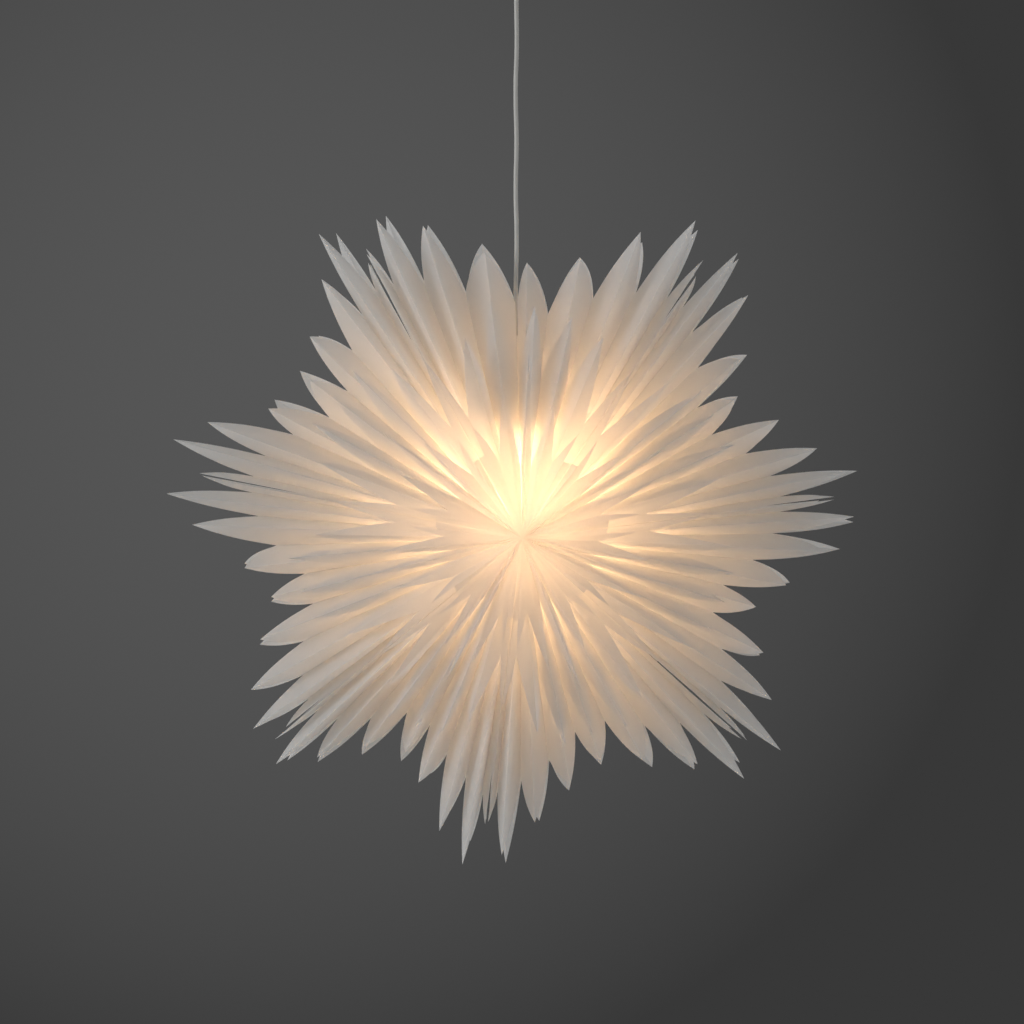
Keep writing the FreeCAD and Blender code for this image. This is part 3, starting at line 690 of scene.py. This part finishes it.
def make_sheets(kind, forms, sheets):
    """The sheets of one kind on every segment, front and back, in place of their solids."""
    paper = bpy.data.materials.get("lantern_paper") or lantern_paper(sheets)
    for segment in segments():
        for side_name, side in SIDES:
            mesh = bmesh.new()
            for layer, form in forms:
                fold_sheet(mesh, segment, layer, form, sheets, side)
            node = "segment_%d_%s_%s" % (segment["number"], kind, side_name)
            data = bpy.data.meshes.new("paper_" + node)
            mesh.to_mesh(data)
            mesh.free()
            data.polygons.foreach_set("use_smooth", [True] * len(data.polygons))
            data.set_sharp_from_angle(angle=CREASE_ANGLE)
            data.materials.append(paper)
            piece = bpy.data.objects.new("paper_" + node, data)
            bpy.context.scene.collection.objects.link(piece)
            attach(piece, "pendant")
            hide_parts(node)


# ---- operators ---------------------------------------------------------------------------------------
class PAPERSTAR_OT_outer_sheets(bpy.types.Operator):
    """Folds the long-tipped sheets that the star is built on"""

    bl_idname = "paperstar.outer_sheets"
    bl_label = "Outer Sheets"

    def execute(self, context):
        make_sheets("outer", [(0, OUTER_FORM)], context.scene.paperstar_sheets)
        return {"FINISHED"}


class PAPERSTAR_OT_petals(bpy.types.Operator):
    """Folds the two layers of shorter petals"""

    bl_idname = "paperstar.petals"
    bl_label = "Petals"

    def execute(self, context):
        make_sheets("petals", [(1, MIDDLE_FORM), (2, INNER_FORM)], context.scene.paperstar_sheets)
        return {"FINISHED"}


class PAPERSTAR_OT_card(bpy.types.Operator):
    """Finishes the seam ribs, the closing boards and their split pins"""

    bl_idname = "paperstar.card"
    bl_label = "Card and Pins"

    def execute(self, context):
        card = stiff_card(context.scene.paperstar_sheets)
        for number in range(1, len(LOBES) + 1):
            finish_node("seam_rib_%d" % number, card)
        finish_node("closing_board_left", card)
        finish_node("closing_board_right", card)
        finish_node("closing_pins", drawn_metal("brass", (0.72, 0.52, 0.22), 0.24))
        return {"FINISHED"}


class PAPERSTAR_OT_lampholder(bpy.types.Operator):
    """Finishes the lampholder, its insert and the bulb's cap"""

    bl_idname = "paperstar.lampholder"
    bl_label = "Lampholder"

    def execute(self, context):
        colour = context.scene.paperstar_fittings.plastic_colour
        white = moulded_plastic("holder_white", colour, 0.32)
        for name in ("holder_cap", "holder_shell", "shade_ring", "holder_cord_screw"):
            finish_node(name, white)
        finish_node("contact_insert", moulded_plastic("insert_cream", (0.72, 0.69, 0.6), 0.42))
        finish_node("thread_sleeve", drawn_metal("sleeve_nickel", (0.66, 0.63, 0.58), 0.22))
        finish_node("bulb_cap", drawn_metal("cap_aluminium", (0.72, 0.72, 0.73), 0.2))
        finish_node("bulb_tip", moulded_plastic("tip_insulator", (0.03, 0.03, 0.035), 0.12))
        return {"FINISHED"}


class PAPERSTAR_OT_bulb(bpy.types.Operator):
    """Lights the bulb"""

    bl_idname = "paperstar.bulb"
    bl_label = "Bulb"

    def execute(self, context):
        fittings = context.scene.paperstar_fittings
        finish_node("bulb_glass", lit_opal_glass(fittings))
        for side_name, side in SIDES:
            core = bpy.data.lights.new("core_glow_" + side_name, "SPOT")
            core.spot_size = CORE_GLOW_CONE
            core.spot_blend = CORE_GLOW_FADE
            core.shadow_soft_size = CORE_GLOW_RADIUS
            core.energy = fittings.core_glow
            core.color = fittings.core_colour
            holder = bpy.data.objects.new("core_glow_" + side_name, core)
            height = CORE_GLOW_RISE - context.scene.paperstar_sheets.drop
            holder.location = (CORE_GLOW_ASIDE, side * CORE_GLOW_DEPTH, height)
            holder.rotation_euler = Vector((0, side, 0)).to_track_quat("-Z", "Z").to_euler()
            holder.visible_camera = False
            context.scene.collection.objects.link(holder)
            holder.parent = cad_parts["holder_shell"]
        return {"FINISHED"}


class PAPERSTAR_OT_flex(bpy.types.Operator):
    """Hangs the flex from its hanger to the lampholder"""

    bl_idname = "paperstar.flex"
    bl_label = "Flex"

    def execute(self, context):
        curve = bpy.data.curves.new("flex", "CURVE")
        curve.dimensions = "3D"
        curve.bevel_depth = FLEX_RADIUS
        curve.bevel_resolution = FLEX_ROUNDNESS
        curve.resolution_u = FLEX_STEPS
        curve.use_fill_caps = True
        spline = curve.splines.new("NURBS")
        spline.points.add(len(FLEX_ROUTE) - 1)
        for point, place in zip(spline.points, FLEX_ROUTE):
            point.co = (*place, 1.0)
        spline.order_u = 3
        spline.use_endpoint_u = True
        colour = context.scene.paperstar_fittings.flex_colour
        curve.materials.append(moulded_plastic("flex_sleeve", colour, 0.36, 1500.0, 0.00008))
        flex = bpy.data.objects.new("flex", curve)
        context.scene.collection.objects.link(flex)
        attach(flex, "pendant")
        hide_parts("cord")
        return {"FINISHED"}


class PAPERSTAR_OT_ceiling_fitting(bpy.types.Operator):
    """Finishes the plate, the hook, what hangs in it, and the cup"""

    bl_idname = "paperstar.ceiling_fitting"
    bl_label = "Ceiling Fitting"

    def execute(self, context):
        colour = context.scene.paperstar_fittings.plastic_colour
        cup = moulded_plastic("cup_white", colour, 0.3, 700.0)
        for name in ("ceiling_cup", "cup_grip_screw", "cord_hanger"):
            finish_node(name, cup)
        zinc = drawn_metal("zinc_steel", (0.60, 0.61, 0.64), 0.3)
        finish_node("ceiling_plate", zinc)
        finish_node("ceiling_hook", zinc)
        finish_node("terminal_block", moulded_plastic("connector_milky", (0.74, 0.76, 0.73), 0.22))
        finish_node("lead_wires", moulded_plastic("core_sleeve", (0.12, 0.05, 0.025), 0.4))
        return {"FINISHED"}


def lamp(name, place, aim, size, power, colour):
    """A square soft lamp."""
    light = bpy.data.lights.new(name, "AREA")
    light.shape = "SQUARE"
    light.size = size
    light.energy = power
    light.color = colour
    holder = bpy.data.objects.new(name, light)
    holder.location = place
    holder.rotation_euler = (Vector(aim) - Vector(place)).to_track_quat("-Z", "Y").to_euler()
    bpy.context.scene.collection.objects.link(holder)


def backdrop_world(stage):
    """Even light for the object, and a dim grey backdrop where the view or a reflection sees past it."""
    world = bpy.data.worlds.new("studio")
    bpy.context.scene.world = world
    world.use_nodes = True
    tree = world.node_tree
    even = tree.nodes["Background"]
    even.inputs["Color"].default_value = EVEN_LIGHT
    even.inputs["Strength"].default_value = stage.ambient
    seen = tree.nodes.new("ShaderNodeBackground")
    ahead = tree.nodes.new("ShaderNodeVectorMath")
    ahead.operation = "DOT_PRODUCT"
    ahead.inputs[1].default_value = BACKDROP_GLOW_AHEAD
    tree.links.new(tree.nodes.new("ShaderNodeTexCoord").outputs["Generated"], ahead.inputs[0])
    glow = spread(tree, ahead.outputs["Value"], BACKDROP_GLOW_EDGE, 1.0, BACKDROP_EDGE_SHARE, 1.0)
    pale = tree.nodes.new("ShaderNodeRGB")
    pale.outputs[0].default_value = rgba(stage.backdrop)
    tree.links.new(shade(tree, pale.outputs[0], glow), seen.inputs["Color"])
    path = tree.nodes.new("ShaderNodeLightPath")
    any_ray = tree.nodes.new("ShaderNodeMath")
    any_ray.operation = "MAXIMUM"
    tree.links.new(path.outputs["Is Camera Ray"], any_ray.inputs[0])
    tree.links.new(path.outputs["Is Glossy Ray"], any_ray.inputs[1])
    mix = tree.nodes.new("ShaderNodeMixShader")
    tree.links.new(any_ray.outputs[0], mix.inputs["Fac"])
    tree.links.new(even.outputs[0], mix.inputs[1])
    tree.links.new(seen.outputs[0], mix.inputs[2])
    tree.links.new(mix.outputs[0], tree.nodes["World Output"].inputs["Surface"])


def place_camera(drop):
    """The photograph's view: a little left of the star's axis and a little above it."""
    azimuth, elevation = math.radians(CAMERA_AZIMUTH), math.radians(CAMERA_ELEVATION)
    level = math.cos(elevation)
    back = Vector((math.sin(azimuth) * level, -math.cos(azimuth) * level, math.sin(elevation)))
    scale = PICTURE_WIDTH / PICTURE
    star = Vector((0, 0, -drop))
    aim = star + Vector((PICTURE / 2 - STAR_PIXEL[0], 0, STAR_PIXEL[1] - PICTURE / 2)) * scale
    camera = bpy.data.cameras.new("view")
    camera.sensor_width = SENSOR
    camera.lens = SENSOR * CAMERA_DISTANCE / PICTURE_WIDTH
    holder = bpy.data.objects.new("view", camera)
    holder.location = aim + back * CAMERA_DISTANCE
    holder.rotation_euler = (-back).to_track_quat("-Z", "Y").to_euler()
    bpy.context.scene.collection.objects.link(holder)
    bpy.context.scene.camera = holder


class PAPERSTAR_OT_stage(bpy.types.Operator):
    """Sets the floor, the lamps, the backdrop and the camera"""

    bl_idname = "paperstar.stage"
    bl_label = "Stage"

    def execute(self, context):
        stage = context.scene.paperstar_stage
        drop = context.scene.paperstar_sheets.drop
        context.scene.view_settings.view_transform = "Standard"
        mesh = bmesh.new()
        bmesh.ops.create_circle(mesh, cap_ends=True, radius=FLOOR_RADIUS, segments=FLOOR_SIDES)
        data = bpy.data.meshes.new("floor")
        mesh.to_mesh(data)
        mesh.free()
        fibre = shared_group("Paper fibre", paper_fibre_group)
        unevenness = {"Cloud": 0.02, "Fibre": 0.01}
        paint, shader = finish_from("floor_paint", fibre, stage.floor_colour, unevenness, 0.0001)
        shader.inputs["Roughness"].default_value = 0.9
        data.materials.append(paint)
        floor = bpy.data.objects.new("floor", data)
        floor.location = (0, 0, -stage.floor_drop)
        context.scene.collection.objects.link(floor)
        middle = (0, 0, -drop)
        for name, place, size, power, colour in LAMPS:
            lamp(name, place, middle, size, power, colour)
        backdrop_world(stage)
        place_camera(drop)
        return {"FINISHED"}


class PAPERSTAR_PT_build(bpy.types.Panel):
    """The star's pieces, one button each"""

    bl_label = "Paper Star Pendant"
    bl_idname = "PAPERSTAR_PT_build"
    bl_space_type = "VIEW_3D"
    bl_region_type = "UI"
    bl_category = "Paper Star"

    def draw(self, context):
        layout = self.layout
        for group in (
            context.scene.paperstar_sheets,
            context.scene.paperstar_fittings,
            context.scene.paperstar_stage,
        ):
            box = layout.box()
            for name in group.bl_rna.properties.keys():
                if name not in ("rna_type", "name"):
                    box.prop(group, name)
        for step in STEPS:
            layout.operator(step.bl_idname)


STEPS = (
    PAPERSTAR_OT_stage,
    PAPERSTAR_OT_flex,
    PAPERSTAR_OT_outer_sheets,
    PAPERSTAR_OT_petals,
    PAPERSTAR_OT_card,
    PAPERSTAR_OT_lampholder,
    PAPERSTAR_OT_bulb,
    PAPERSTAR_OT_ceiling_fitting,
)
CLASSES = (PaperStarSheets, PaperStarFittings, PaperStarStage, *STEPS, PAPERSTAR_PT_build)


def register():
    for cls in CLASSES:
        bpy.utils.register_class(cls)
    bpy.types.Scene.paperstar_sheets = PointerProperty(type=PaperStarSheets)
    bpy.types.Scene.paperstar_fittings = PointerProperty(type=PaperStarFittings)
    bpy.types.Scene.paperstar_stage = PointerProperty(type=PaperStarStage)


def unregister():
    del bpy.types.Scene.paperstar_stage
    del bpy.types.Scene.paperstar_fittings
    del bpy.types.Scene.paperstar_sheets
    for cls in reversed(CLASSES):
        bpy.utils.unregister_class(cls)


def main():
    """Registers the add-on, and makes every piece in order."""
    register()
    for step in STEPS:
        group, name = step.bl_idname.split(".")
        getattr(getattr(bpy.ops, group), name)()


if __name__ == "__main__":
    main()
